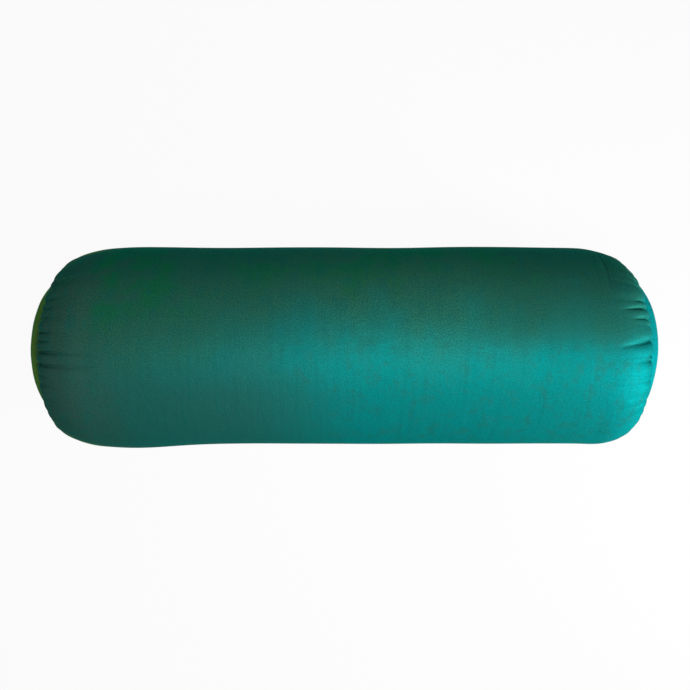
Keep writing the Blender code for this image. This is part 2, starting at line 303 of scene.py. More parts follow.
# Painted shade: the left half duller, more at the front
painted_left_shade = DyeOrPaintedLight((0.03, 0.15, 0.125, 1), x=(0.03, -0.12))
painted_left_shade_y = (0.0, -0.06)
painted_left_shade_shares = (0.5, 0.3)
shaded = DyeOrPaintedLight((0.03, 0.15, 0.095, 1), 0.6, x=(0.11, 0.19), y=(-0.015, 0.02))
shaded_end_x = (0.33, 0.27)
# Painted shade: greyer and darker towards the left end
painted_left_end_shade = DyeOrPaintedLight((0.09, 0.14, 0.1, 1), 0.75, x=(-0.2, -0.33))
# Painted shade: green patches where the tone is low, at the back and towards the left
shade_green_patches = DyeOrPaintedLight((0.012, 0.26, 0.07, 1), 0.85, (0.15, -0.4), (-0.32, -0.27), spots=(0.44, 0.6))
patchy = DyeOrPaintedLight((0.022, 0.2, 0.172, 1), 0.55, spots=(0.48, 0.64))
streaky = DyeOrPaintedLight((0.003, 0.17, 0.165, 1), 0.22, spots=(0.45, 0.75))
fuzzy = DyeOrPaintedLight((0.008, 0.12, 0.1, 1), spots=(0.4, 0.62))
fuzzy_shares = (-0.3, 0.85)
linty = DyeOrPaintedLight((0.09, 0.3, 0.27, 1), 0.5, spots=(0.78, 0.84))
# Painted shade along the crease line across the right shoulder
painted_crease_shade = DyeOrPaintedLight((0.01, 0.06, 0.045, 1), 0.7)
# Painted rim light: olive where the left end is seen edge on
painted_olive_rim_light = DyeOrPaintedLight((0.24, 0.38, 0.006, 1), 0.9, x=(-0.25, -0.30))
rim_light_facing = (0.78, 0.96)
panel_rim_light_facing = (0.44, 0.66)
gap_color = (0.001, 0.09, 0.085, 1)
gap_shares = (-0.3, 0.3)

# A thin dark line, painted shade, in the soft fold across the right shoulder
line_x = 0.2712
line_slope = -0.122
line_width = (0.0002, 0.0016)
line_y = (0.05, 0.095)
line_z = (0.12, 0.15)

# Relief of the cotton
cotton_pitch = 0.0006
crumple_relief = 0.0006
line_relief = -0.0004
nap_relief = 0.00016
streak_relief = 0.0002
thread_relief = 0.00006

# Patterns of the surfaces: repeats in a metre, fineness, roughness, and a stretch along each way
Pattern = namedtuple("Pattern", "scale detail roughness stretch", defaults=(0.5, None))
clouds = Pattern(14.0, 3.0, 0.6, (1.0, 0.55, 0.55))
shade_green_spots = Pattern(22.0, 3.0, 0.6)
patches = Pattern(80.0, 5.0, 0.78, (1.0, 0.7, 0.7))
streaks = Pattern(1.0, 2.0, 0.5, (190.0, 9.0, 1.0))
nap = Pattern(640.0, 3.0, 0.75)
lint = Pattern(1.0, 1.0, 0.5, (260.0, 420.0, 1.0))
crumple = Pattern(75.0, 3.0)
slubs = Pattern(1.0, 2.0, 0.5, (40.0, 400.0, 400.0))
strands = Pattern(1.0, 5.0, 0.7, (90.0, 500.0, 500.0))
tooth_wear = Pattern(900.0, 3.0)
rubs = Pattern(1.0, 3.0, 0.5, (700.0, 6000.0, 6000.0))
metal_wear = Pattern(420.0, 4.0, 0.6)

# The other finishes: two colours, and the values of a pattern over which one gives way to the other
Cloth = namedtuple("Cloth", "name dark light pitch roughness")
calico_cloth = Cloth("calico", (0.6, 0.54, 0.43, 1), (0.78, 0.72, 0.6, 1), 0.0007, 0.85)
tape_cloth = Cloth("zip tape", (0.004, 0.12, 0.115, 1), (0.008, 0.2, 0.19, 1), 0.0005, 0.8)
cloth_spots = (0.35, 0.7)
cloth_relief = 0.12
fibre_spots = (0.3, 0.7)
fibre_colors = ((0.66, 0.63, 0.56, 1), (0.86, 0.84, 0.79, 1))
fibre_relief = 0.002
tooth_spots = (0.4, 0.7)
tooth_colors = ((0.006, 0.13, 0.125, 1), (0.012, 0.17, 0.16, 1))
tooth_relief = 0.00004
metal_spots = (0.45, 0.75)
metal_colors = ((0.56, 0.54, 0.50, 1), (0.46, 0.43, 0.39, 1))
metal_relief = 0.00002

# How rough a surface is: what its pattern adds, and what it starts from
cotton_roughness = (0.1, 0.36)
tooth_roughness = (0.25, 0.28)
rub_roughness = (0.2, 0.2)
wear_roughness = 0.12

# Camera, lamps, floor and world
camera_height = axis_height + 7 * body_radius
Lamp = namedtuple("Lamp", "name place power color")
lamps = (
    Lamp("top", (0.15, -0.20, 0.83), 3.2, (1.0, 1.0, 0.96)),
    Lamp("side", (0.80, -0.27, 0.40), 4.5, (0.95, 1.0, 1.0)),
)
lamp_target = (0.08, 0.0, 0.12)
floor_half = 20.0
floor_glow = 0.95
ambient_strength = 0.015
ambient_color = (1.0, 0.95, 0.72, 1.0)
white = (1.0, 1.0, 1.0, 1.0)


def smooth_step(x):
    x = np.clip(x, 0.0, 1.0)
    return x * x * (3 - 2 * x)


def smooth_max(a, b, blend):
    overlap = np.maximum(blend - np.abs(a - b), 0.0)
    return np.maximum(a, b) + overlap * overlap / (4 * blend)


def share_of(angle_deg):
    """The share of the way round from the zip at which an angle from the top lies."""
    return (angle_deg - math.degrees(zip_angle)) % 360 / 360


def with_all_creases(end):
    """The end with all its creases in order, each placed by its share of the way round."""
    draw = random.Random(end.crease_seed)
    known = sorted(share_of(crease.angle) for crease in end.creases)
    marks = [0.0] + known + [1.0]
    usual = 1.0 / (creases_per_end + 1)
    counts = [max(round((high - low) / usual) - 1, 0) for low, high in zip(marks, marks[1:])]
    while sum(counts) != creases_per_end - len(known):
        step = 1 if sum(counts) < creases_per_end - len(known) else -1
        widths = [(high - low) / (count + 1) for low, high, count in zip(marks, marks[1:], counts)]
        pick = widths.index(max(widths) if step > 0 else min(w for w, c in zip(widths, counts) if c))
        counts[pick] += step
    creases = [crease._replace(angle=share_of(crease.angle)) for crease in end.creases]
    for low, high, count in zip(marks, marks[1:], counts):
        step = (high - low) / (count + 1)
        for i in range(count):
            length = draw.uniform(*drawn_length) * (long_factor if draw.random() < long_share else 1.0)
            creases.append(Crease(
                low + step * (i + 1 + draw.uniform(-drawn_shift, drawn_shift)),
                length,
                draw.uniform(*drawn_depth),
                draw.uniform(-drawn_lean, drawn_lean),
            ))
    return end._replace(creases=sorted(creases))


def crease_centres(creases, way):
    """Each crease's share of the way round at these ways from the seam, with the two cloth edges."""
    way = np.asarray(way)[..., None]
    angles = np.array([crease.angle for crease in creases])
    leans = np.array([crease.lean for crease in creases]) / 360
    lengths = np.array([crease.length for crease in creases])
    centres = angles + leans * np.clip(way / lengths, 0.0, 1.0)
    edges = np.zeros(centres.shape[:-1] + (1,))
    return np.concatenate([edges, centres, edges + 1], axis=-1)


def column_layout(marks):
    """Shares of the way round for every column, with one on each crease."""
    low = marks[..., :-1, None]
    high = marks[..., 1:, None]
    columns = low + (high - low) * np.array(fold_columns)
    columns = columns.reshape(marks.shape[:-1] + (-1,))
    return np.concatenate([columns, np.ones(marks.shape[:-1] + (1,))], axis=-1)


def way_along(x, radius):
    """The way travelled along an outline up to each of its points."""
    return np.concatenate([[0.0], np.cumsum(np.hypot(np.diff(x), np.diff(radius)))])


Profile = namedtuple("Profile", "x radius normal_x normal_r way")


def shoulder_point(turn, inset=0.0):
    along = shoulder_length - inset
    across = shoulder_drop - inset
    normal = Vector((math.sin(turn) / along, math.cos(turn) / across)).normalized()
    return shoulder_x + along * math.sin(turn), seam_radius + across * math.cos(turn), normal.x, normal.y


def right_profile(inset, middle_rows, near_rows, shoulder_rows, grading):
    """The tube's outline from its middle to the right seam, with the way that is left to the seam."""
    turns = np.linspace(0.0, math.pi / 2, curve_steps)
    curve = np.array([shoulder_point(turn, inset)[:2] for turn in turns])
    travelled = way_along(*curve.T)
    total = travelled[-1]
    near_x = shoulder_x * near_share
    places = np.concatenate([
        np.linspace(0.0, near_x, middle_rows, endpoint=False),
        np.linspace(near_x, shoulder_x, near_rows, endpoint=False),
    ])
    rows = [(x, body_radius - inset, 0.0, 1.0, total + shoulder_x - x) for x in places]
    for share in 1 - (1 - np.linspace(0.0, 1.0, shoulder_rows)) ** grading:
        turn = float(np.interp(share * total, travelled, turns))
        rows.append((*shoulder_point(turn, inset), total * (1 - share)))
    return rows


def off_the_seam(way):
    """0 at the seam, which holds the gathers flat, rising to 1 within a few millimetres."""
    return 1 - np.exp(-way / seam_rise)


def gather_height(way, shares, end):
    """How far the gathers lift or sink the cloth, at each way from the seam and share round."""
    draw = random.Random(end.gather_seed)
    ring = 2 * math.pi * seam_radius
    height = np.zeros(np.broadcast(way, shares).shape)
    marks = crease_centres(end.creases, np.broadcast_to(way, height.shape))
    for number, crease in enumerate(end.creases):
        across = (shares - marks[..., number + 1]) * ring
        core = crease_core + crease_spread * way
        fade = np.clip(1 - way / crease.length, 0.0, 1.0) ** crease_fade * off_the_seam(way)
        height -= crease.depth * fade / (1 + (across / core) ** 2) ** crease_sides
    for number in range(len(end.creases) + 1):
        low = marks[..., number]
        high = marks[..., number + 1]
        phase = np.clip((shares - low) / (high - low), 0.0, 1.0)
        puff = fold_puff * (high - low) * (creases_per_end + 1) * draw.uniform(*puff_spread)
        reach = way / (fold_puff_length * draw.uniform(*reach_spread))
        height += puff * np.sin(math.pi * phase) ** puff_power * reach * np.exp(1 - reach)
    return height


def slit_height(way, shares, creases):
    """The narrow bottoms of the creases, too fine for the coarser cloth."""
    ring = 2 * math.pi * seam_radius
    height = np.zeros(way.shape)
    marks = crease_centres(creases, way)
    for number, crease in enumerate(creases):
        across = (shares - marks[..., number + 1]) * ring
        core = slit_core + slit_spread * way
        fade = np.clip(1 - way / crease.length, 0.0, 1.0)
        height -= crease.depth * fade / (1 + (across / core) ** 2) ** 2
    return height * off_the_seam(way)


def wave_field(points, size, seed):
    """Smooth unevenness between about -1 and 1, of that size, at each of the points."""
    draw = np.random.default_rng(seed)
    directions = draw.normal(size=(waves_per_field, 3))
    directions /= np.linalg.norm(directions, axis=1, keepdims=True)
    rates = math.pi / (size * draw.uniform(*wave_spread, waves_per_field))
    phases = draw.uniform(0, 2 * math.pi, waves_per_field)
    waves = np.cos(points @ (directions * rates[:, None]).T + phases)
    return waves.sum(axis=1) / math.sqrt(waves_per_field)


def lump_height(x, angles):
    height = np.zeros(np.broadcast(x, angles).shape)
    for lump in lumps:
        turn = np.angle(np.exp(1j * (angles - math.radians(lump.angle))))
        along = (x - lump.x) / lump.size_x
        around = turn * body_radius / lump.size_around
        height += lump.height * np.exp(-along**2 - around**2)
    return height


def shoulder_fold_height(x, angles):
    """The soft fold across the right shoulder: a valley with a raised lip on its outer side."""
    start, end = [np.array([x0, math.radians(angle) * body_radius]) for x0, angle in shoulder_fold]
    length = np.linalg.norm(end - start)
    direction = (end - start) / length
    turn = np.angle(np.exp(1j * angles))
    dx = x - start[0]
    dy = turn * body_radius - start[1]
    along = (dx * direction[0] + dy * direction[1]) / length
    across = (dx * direction[1] - dy * direction[0]) / shoulder_fold_width
    fade = np.clip(1 - (2 * along - 1) ** 2, 0.0, 1.0)
    lip = lip_height * np.exp(-((across - lip_place) / lip_width) ** 2)
    return shoulder_fold_depth * fade * (lip - 1 / (1 + across**2) ** crease_sides)


def stacked(*parts):
    return np.stack(np.broadcast_arrays(*parts), axis=-1)


def surface_points(profile, angles, height):
    """Points at a height above the outline, never lifted over the end seam that holds the cloth."""
    lift = np.where(height > 0, height * smooth_step(profile.way / seam_reach), height)
    x = profile.x + profile.normal_x * lift
    radius = profile.radius + profile.normal_r * height
    return stacked(x, radius * np.sin(angles), axis_height + radius * np.cos(angles))


def settled(points, floor=0.0):
    """The same points, with what would sink below the floor flattened onto it."""
    points = points.copy()
    points[..., 2] = smooth_max(points[..., 2], floor, settle_blend)
    return points


def slanted(points):
    """The same points with the ends a little out of square: longer at the front than at the back."""
    points = points.copy()
    weight = smooth_step((np.abs(points[..., 0]) - slant_start) / (shoulder_x - slant_start))
    points[..., 0] -= np.sign(points[..., 0]) * end_slant * points[..., 1] * weight
    return points


def link_piece(name, mesh, body):
    piece = bpy.data.objects.new(name, mesh)
    scene.collection.objects.link(piece)
    if body:
        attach(piece, body)
    return piece


def new_piece(name, points, faces, body, smooth=True):
    mesh = bpy.data.meshes.new(name)
    mesh.from_pydata(points, [], faces)
    if smooth:
        mesh.shade_smooth()
    return link_piece(name, mesh, body)


def modelled_piece(name, bm, material):
    """Turns faces that were modelled one by one into a piece on the bolster."""
    bmesh.ops.recalc_face_normals(bm, faces=bm.faces)
    mesh = bpy.data.meshes.new(name)
    bm.to_mesh(mesh)
    bm.free()
    mesh.materials.append(material)
    return link_piece(name, mesh, "bolster")


def store(piece, name, vectors):
    """Keeps three numbers at each point, such as its place on the flat cloth."""
    attribute = piece.data.attributes.new(name, "FLOAT_VECTOR", "POINT")
    attribute.data.foreach_set("vector", np.asarray(vectors, np.float32).ravel())


def read_vectors(members, name):
    """Three numbers from each member of a mesh, such as the place of each of its points."""
    values = np.empty(len(members) * 3, np.float32)
    members.foreach_get(name, values)
    return values.reshape(-1, 3).astype(float)


def move_points(piece, points):
    piece.data.vertices.foreach_set("co", np.asarray(points, np.float32).ravel())
    piece.data.update()


def grid_faces(rows, columns, closed=False):
    faces = []
    last = columns if closed else columns - 1
    for i in range(rows - 1):
        for j in range(last):
            a = i * columns + j
            b = i * columns + (j + 1) % columns
            faces.append((a, a + columns, b + columns, b))
    return faces


def fan_faces(first, columns, tip):
    """Triangles from a closed row of points to the point that closes it."""
    return [(first + j, tip, first + (j + 1) % columns) for j in range(columns)]


def ring_turns(sides):
    return [2 * math.pi * j / sides for j in range(sides)]


def skin_rings(bm, rings):
    """Faces between each ring of places and the next, and over both ends."""
    rings = [[bm.verts.new(place) for place in ring] for ring in rings]
    for low, high in zip(rings, rings[1:]):
        for j in range(len(low)):
            k = (j + 1) % len(low)
            bm.faces.new((low[j], low[k], high[k], high[j]))
    bm.faces.new(rings[0])
    bm.faces.new(rings[-1])


def stuff(piece, cut_points, held, cap):
    """Lets the cloth, cut to the given size, swell under the stuffing between its held points."""
    start = read_vectors(piece.data.vertices, "co")
    group = piece.vertex_groups.new(name="held")
    for index, weight in enumerate(held):
        if weight > 0:
            group.add([index], float(weight), "REPLACE")
    piece.shape_key_add(name="sewn")
    cut = piece.shape_key_add(name="cut")
    cut.data.foreach_set("co", np.asarray(cut_points, np.float32).ravel())
    cloth = piece.modifiers.new("stuffing", "CLOTH")
    settings = cloth.settings
    settings.rest_shape_key = cut
    settings.vertex_group_mass = group.name
    for name, value in cloth_settings.items():
        setattr(settings, name, value)
    settings.effector_weights.gravity = 0.0
    cloth.collision_settings.use_collision = False
    for number in range(1, stuffing_frames + 1):
        scene.frame_set(number)
    evaluated = piece.evaluated_get(bpy.context.evaluated_depsgraph_get())
    swollen = read_vectors(evaluated.data.vertices, "co")
    piece.modifiers.remove(cloth)
    piece.shape_key_clear()
    piece.vertex_groups.clear()
    scene.frame_set(1)
    moved = swollen - start
    size = np.linalg.norm(moved, axis=1, keepdims=True) + tiny
    move_points(piece, start + moved / size * cap * np.tanh(size / cap))


def subdivide(piece):
    modifier = piece.modifiers.new("subdivision", "SUBSURF")
    modifier.levels = 1
    modifier.render_levels = 1
    depsgraph = bpy.context.evaluated_depsgraph_get()
    mesh = bpy.data.meshes.new_from_object(piece.evaluated_get(depsgraph), depsgraph=depsgraph)
    piece.modifiers.remove(modifier)
    piece.data = mesh
    mesh.name = piece.name


def edge_columns():
    """The folded edge's columns: how far each lies from the edge, and how far under the cloth."""
    turn = math.sin(math.pi / 4)
    return [
        (hem_width, 2 * fold_radius),
        (hem_width * hem_middle, 2 * fold_radius),
        (fold_radius, 2 * fold_radius),
        (fold_radius * (1 - turn), fold_radius * (1 + turn)),
        (0.0, fold_radius),
        (fold_radius * (1 - turn), fold_radius * (1 - turn)),
    ]


def slot_half_gap(x):
    """Half the opening at the zip, which closes to a seam beyond the slot's ends."""
    beyond = (np.abs(x) - slot_half_length) / slot_end_length
    return seam_gap + (slot_half_width - seam_gap) * (1 - smooth_step(beyond))


def cover_profile():
    """The cover's outline from seam to seam, with the allowance that turns in at each of them."""
    half = right_profile(0.0, middle_steps, near_steps, shoulder_steps, shoulder_grading)
    for turn in np.linspace(math.pi / 6, math.pi / 2, 3):
        half.append((
            seam_x - edge_round * (1 - math.cos(turn)),
            seam_radius - edge_round * math.sin(turn),
            math.cos(turn),
            -math.sin(turn),
            0.0,
        ))
    half.append((seam_x - seam_allowance, seam_radius - edge_round, 0.0, -1.0, 0.0))
    rows = [(-x, r, -nx, nr, way) for x, r, nx, nr, way in reversed(half[1:])] + half
    return Profile(*np.array(rows).T[:, :, None])


def cover_columns(profile, right, left):
    """Each column's share of the way round, its angle, and the angles with both folded edges."""
    mix = smooth_step(profile.x / (2 * shoulder_x) + 0.5)
    way = profile.way[:, 0]
    shares_left = column_layout(crease_centres(left.creases, way))
    shares_right = column_layout(crease_centres(right.creases, way))
    shares = shares_left * (1 - mix) + shares_right * mix
    half_gap = slot_half_gap(profile.x)
    outer_start = (half_gap + fold_radius) / body_radius
    outer = zip_angle + outer_start + shares * (2 * math.pi - 2 * outer_start)
    edges = [zip_angle + (half_gap + across) / body_radius for across, _ in edge_columns()]
    first = np.concatenate(edges, axis=1)
    last = 2 * zip_angle + 2 * math.pi - first[:, ::-1]
    return shares, outer, np.concatenate([first, outer, last], axis=1)


def cover_height(profile, shares, outer, right, left):
    """How far the cloth lies above or below its plain outline."""
    height = np.where(
        profile.x < 0,
        gather_height(profile.way, shares, left),
        gather_height(profile.way, shares, right),
    )
    plain = surface_points(profile, outer, 0.0).reshape(-1, 3)
    waves = sum(high * wave_field(plain, size, seed) for high, size, seed in body_waves)
    ease = np.minimum(shares, 1 - shares) * 2 * math.pi * body_radius
    uneven = waves.reshape(height.shape) * smooth_step(ease / zip_ease)
    uneven += lump_height(profile.x, outer) + shoulder_fold_height(profile.x, outer)
    height += uneven * smooth_step(profile.way / seam_ease)
    closed = smooth_step((np.abs(profile.x) - slot_half_length) / slot_end_length)
    pinch = 1 + pinch_share * np.sin(profile.x * 2 * math.pi / pinch_length)
    beside = np.exp(-(ease / valley_width) ** 2)
    height -= closed * valley_depth * pinch * beside * off_the_seam(profile.way)
    return height


def build_cover_body(right, left, material):
    profile = cover_profile()
    shares, outer, angles = cover_columns(profile, right, left)
    height = cover_height(profile, shares, outer, right, left)
    depths = np.array([depth for _, depth in edge_columns()])
    edge = len(depths)
    height = np.concatenate([
        height[:, :1] - depths[None, :],
        height,
        height[:, -1:] - depths[None, ::-1],
    ], axis=1)
    sewn = slanted(settled(surface_points(profile, angles, height)))
    rows, columns = angles.shape
    piece = new_piece("cover_body_cloth", sewn.reshape(-1, 3), grid_faces(rows, columns), "bolster")
    along = way_along(profile.x[:, 0], profile.radius[:, 0])
    store(piece, "weave", stacked(along[:, None], angles * body_radius, 0.0))
    all_shares = np.concatenate([np.zeros((rows, edge)), shares, np.ones((rows, edge))], axis=1)
    side = np.where(profile.x < 0, -1.0, 1.0)
    store(piece, "gather", stacked(all_shares, profile.way, side))

    excess = 1 + gather_excess * np.exp(-profile.way / gather_reach)
    wide = profile._replace(radius=profile.radius * excess)
    cut = slanted(surface_points(wide, angles, 0.0))
    held = np.zeros(angles.shape)
    held[profile.way[:, 0] <= 0.0] = 1.0
    near = np.arange(columns)
    near = np.minimum(near, near[::-1])
    held = np.maximum(held, np.clip((edge + held_columns - near) / held_fade, 0.0, 1.0)[None, :])
    cap = body_cap * (seam_cap_share + (1 - seam_cap_share) * smooth_step(profile.way / seam_reach))
    cap = np.broadcast_to(cap, angles.shape).reshape(-1, 1)
    stuff(piece, cut.reshape(-1, 3), held.ravel(), cap)
    subdivide(piece)

    share, way, side = read_vectors(piece.data.attributes["gather"].data, "vector").T
    slits = np.where(
        side > 0,
        slit_height(way, share, right.creases),
        slit_height(way, share, left.creases),
    )
    outside = (share > 0) & (share < 1) & (way > 0)
    points = read_vectors(piece.data.vertices, "co")
    normals = read_vectors(piece.data.vertices, "normal")
    move_points(piece, settled(points + normals * (slits * outside)[:, None]))
    piece.data.materials.append(material)
    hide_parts("cover_body_panel")
    return piece


def panel_rows():
    """The end panel's outline: its turned-in flange, the turn at the seam, and the dome."""
    flange = seam_radius - edge_round - panel_gap
    rows = [(seam_x - seam_allowance, flange), (seam_x - edge_round, flange)]
    for turn in np.linspace(0.0, panel_turn, 3)[1:]:
        rows.append((
            seam_x - edge_round * (1 - math.sin(turn)),
            flange - edge_round * (1 - math.cos(turn)),
        ))
    start_x, rim = rows[-1]
    shares = (1 - np.linspace(0, 1, panel_steps) ** panel_grading)[1:-1]
    for share in [*shares, *panel_tip_shares]:
        rows.append((start_x + (seam_x + end_bulge - start_x) * (1 - share**dome_power), rim * share))
    return rows, rim


def build_end_panel(end, material):
    """A round panel puffed by the filling, its rim turned in at the seam and puckered by it."""
    name = f"cover_end_cloth_{end.name}"
    marks = [0.0] + [crease.angle for crease in end.creases] + [1.0]
    shares = np.array([
        low + (high - low) * step / panel_columns
        for low, high in zip(marks, marks[1:]) for step in range(panel_columns)
    ])
    angles = zip_angle + shares * 2 * math.pi
    rows, rim = panel_rows()
    draw = random.Random(end.panel_seed)
    puckers = [pucker_height * draw.uniform(*pucker_spread) for _ in marks]
    points = []
    weave = []
    held = []
    for x, radius in rows:
        inward = rim - radius
        fade = 0.0
        if inward > 0:
            fade = (1 - math.exp(-inward / pucker_rise)) * math.exp(-inward / pucker_reach)
        for index, angle in enumerate(angles):
            phase = math.pi * (index % panel_columns) / panel_columns
            swell = puckers[index // panel_columns] * (math.sin(phase) - 0.5) * fade
            y = radius * math.sin(angle)
            z = radius * math.cos(angle)
            points.append((end.side * (x + swell), y, axis_height + z))
            weave.append((y, z, 0.0))
            held.append(1.0 if inward <= 0.0 else 0.0)
    points.append((end.side * (seam_x + end_bulge), 0.0, axis_height))
    weave.append((0.0, 0.0, 0.0))
    held.append(0.0)
    columns = len(shares)
    faces = grid_faces(len(rows), columns, closed=True)
    faces += fan_faces((len(rows) - 1) * columns, columns, len(points) - 1)
    if end.side < 0:
        faces = [face[::-1] for face in faces]
    points = np.array(points)
    waves = sum(
        high * wave_field(points, size, end.panel_seed + seed) for high, size, seed in panel_waves
    )
    inward = rim - np.hypot(points[:, 1], points[:, 2] - axis_height)
    points[:, 0] += end.side * waves * smooth_step(inward / wave_ease)
    points = slanted(points)
    piece = new_piece(name, points, faces, "bolster")
    store(piece, "weave", weave)
    cut = points.copy()
    cut[:, 1:] = (cut[:, 1:] - axis_place) * panel_excess + axis_place
    stuff(piece, cut, held, panel_cap)
    subdivide(piece)
    piece.data.materials.append(material)
    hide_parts(name.replace("_cloth", "_panel"))


def revolved(name, rows, seed, unevenness, material, close_start=False, close_end=False):
    """A layer under the cover: rows of place along and radius turned round the axis."""
    angles = np.linspace(0, 2 * math.pi, layer_columns, endpoint=False)
    points = np.array([
        (x, radius * math.sin(angle), axis_height + radius * math.cos(angle))
        for x, radius in rows for angle in angles
    ])
    lift = unevenness * wave_field(points, layer_wave_size, seed)
    offset = points[:, 1:] - axis_place
    distance = np.linalg.norm(offset, axis=1, keepdims=True)
    points[:, 1:] = axis_place + offset * (1 + lift[:, None] / distance)
    faces = grid_faces(len(rows), layer_columns, closed=True)
    if close_start:
        faces += [(len(points), j, (j + 1) % layer_columns) for j in range(layer_columns)]
        points = np.concatenate([points, [(rows[0][0], 0.0, axis_height)]])
    if close_end:
        faces += fan_faces((len(rows) - 1) * layer_columns, layer_columns, len(points))
        points = np.concatenate([points, [(rows[-1][0], 0.0, axis_height)]])
    piece = new_piece(name, slanted(settled(points, liner_inset)), faces, "bolster")
    store(piece, "weave", points)
    piece.data.materials.append(material)
    return piece


def tube_rows(inset, rim):
    """A layer's outline from its middle to its rim, as places along and radii."""
    rows = right_profile(inset, layer_steps, layer_steps, layer_shoulder_steps, 1.0)
    return [(x, radius) for x, radius, _, _, _ in rows if radius > rim and x < liner_end_x]


def dome_rows(start_x, end_x, rim):
    shares = 1 - np.linspace(0.0, 1.0, layer_dome_steps) ** layer_dome_grading
    return [
        (start_x + (end_x - start_x) * (1 - share**dome_power), rim * max(share, layer_tip_share))
        for share in shares
    ]


def mirrored(rows):
    return [(-x, radius) for x, radius in reversed(rows)]


def build_inner_layers(calico, fibre):
    corner = liner_rim + liner_corner
    tube = tube_rows(liner_inset, corner)
    tube += [(liner_end_x - liner_corner, corner), (liner_end_x, liner_rim + liner_corner / 2)]
    rows = mirrored(tube[1:]) + tube
    liner = revolved("liner_body_cloth", rows, liner_seed, liner_unevenness, calico)
    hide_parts("liner_body")
    tip = seam_x + end_bulge - liner_tip_gap
    dome = dome_rows(liner_end_x + liner_corner, tip, liner_rim)
    for end in (right_end, left_end):
        panel = revolved(
            f"liner_end_cloth_{end.name}",
            dome if end is right_end else mirrored(dome),
            end.liner_seed,
            liner_unevenness,
            calico,
            close_start=end is left_end,
            close_end=end is right_end,
        )
        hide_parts(f"liner_end_{end.name}")
    packed = tube_rows(filling_inset, liner_rim - liner_corner)
    packed += dome_rows(liner_end_x, tip - filling_gap, liner_rim - filling_gap)
    rows = mirrored(packed[1:]) + packed
    filling = revolved("filling_fibres", rows, filling_seed, filling_unevenness, fibre, True, True)
    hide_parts("filling")


def zip_place(x, across, out):
    """A place beside the zip's middle line: along it, across it towards the floor, and outwards."""
    return (
        x,
        out * math.sin(zip_angle) + across * math.cos(zip_angle),
        axis_height + out * math.cos(zip_angle) - across * math.sin(zip_angle),
    )


def build_teeth_row(name, side, shift, material):
    """A row of moulded teeth on a rounded cord, where the solids have plain ones."""
    bm = bmesh.new()
    root = channel_half + tooth_length
    half = tooth_width / 2
    outline = [(-half * width, share) for share, width in tooth_shape]
    outline += [(half * width, share) for share, width in reversed(tooth_shape)]
    count = math.floor((2 * row_half_length - tooth_pitch / 2) / tooth_pitch)
    first = -count * tooth_pitch / 2 - tooth_pitch / 4 + shift
    for number in range(count):
        middle = first + tooth_pitch * (number + 0.5)
        skin_rings(bm, [[
            zip_place(
                middle + along * scale,
                side * (root - tooth_length * share * (0.5 + 0.5 * scale)),
                row_bottom + tooth_height * level,
            )
            for along, share in outline] for level, scale in tooth_levels])
    skin_rings(bm, [[
        zip_place(
            x,
            side * (root + spine_width / 2 * (1 + math.cos(turn))),
            row_bottom + tooth_height * (spine_level + spine_level * math.sin(turn)),
        )
        for turn in ring_turns(spine_sides)]
        for x in np.linspace(-row_half_length, row_half_length, spine_rings)])
    piece = modelled_piece(f"{name}_moulded", bm, material)
    for polygon in piece.data.polygons:
        polygon.use_smooth = len(polygon.vertices) == 4
    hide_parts(name)


def add_thread(bm, start, end, out):
    """One stitch between two places, its ends dipping into the cloth."""
    out = out.normalized()
    across = (end - start).normalized().cross(out)
    rings = []
    for share, lift, thickness in thread_rings:
        middle = start.lerp(end, share) + out * lift * thread_radius
        offsets = [across * math.cos(turn) + out * math.sin(turn) for turn in ring_turns(thread_sides)]
        rings.append([middle + offset * thread_radius * thickness for offset in offsets])
    skin_rings(bm, rings)


def build_topstitch(cover, material):
    """The stitching that holds the cover's folded edges to the tapes, with a bartack at each end."""
    tree = BVHTree.FromPolygons(
        [vertex.co for vertex in cover.data.vertices],
        [tuple(polygon.vertices) for polygon in cover.data.polygons],
    )
    bm = bmesh.new()

    def place(x, across):
        direction = Vector(zip_place(0.0, across, body_radius)) - Vector((0.0, 0.0, axis_height))
        start = Vector((x, 0.0, axis_height)) + direction * ray_start
        hit, _, _, _ = tree.ray_cast(start, -direction)
        return hit, direction

    def stitch(x0, across0, x1, across1):
        start, out = place(x0, across0)
        end, _ = place(x1, across1)
        if start and end:
            add_thread(bm, start, end, out)

    line = slot_half_width + stitch_inset
    far = slot_half_length + slot_end_length * stitch_overrun
    step = stitch_length + stitch_space
    count = int(2 * far / step)
    for side in (-1, 1):
        for i in range(count):
            x = -far + (2 * far - count * step) / 2 + i * step
            stitch(x, side * line, x + stitch_length, side * line)
    for end in (-1, 1):
        for i in range(bartack_stitches):
            x = end * (slot_half_length - bartack_step * i)
            for side in (-1, 1):
                near = side * (slot_half_width + bartack_inset)
                stitch(x, near, x + end * bartack_step / 2, near + side * bartack_width)
    piece = modelled_piece("zip_topstitch", bm, material)
    piece.data.shade_smooth()


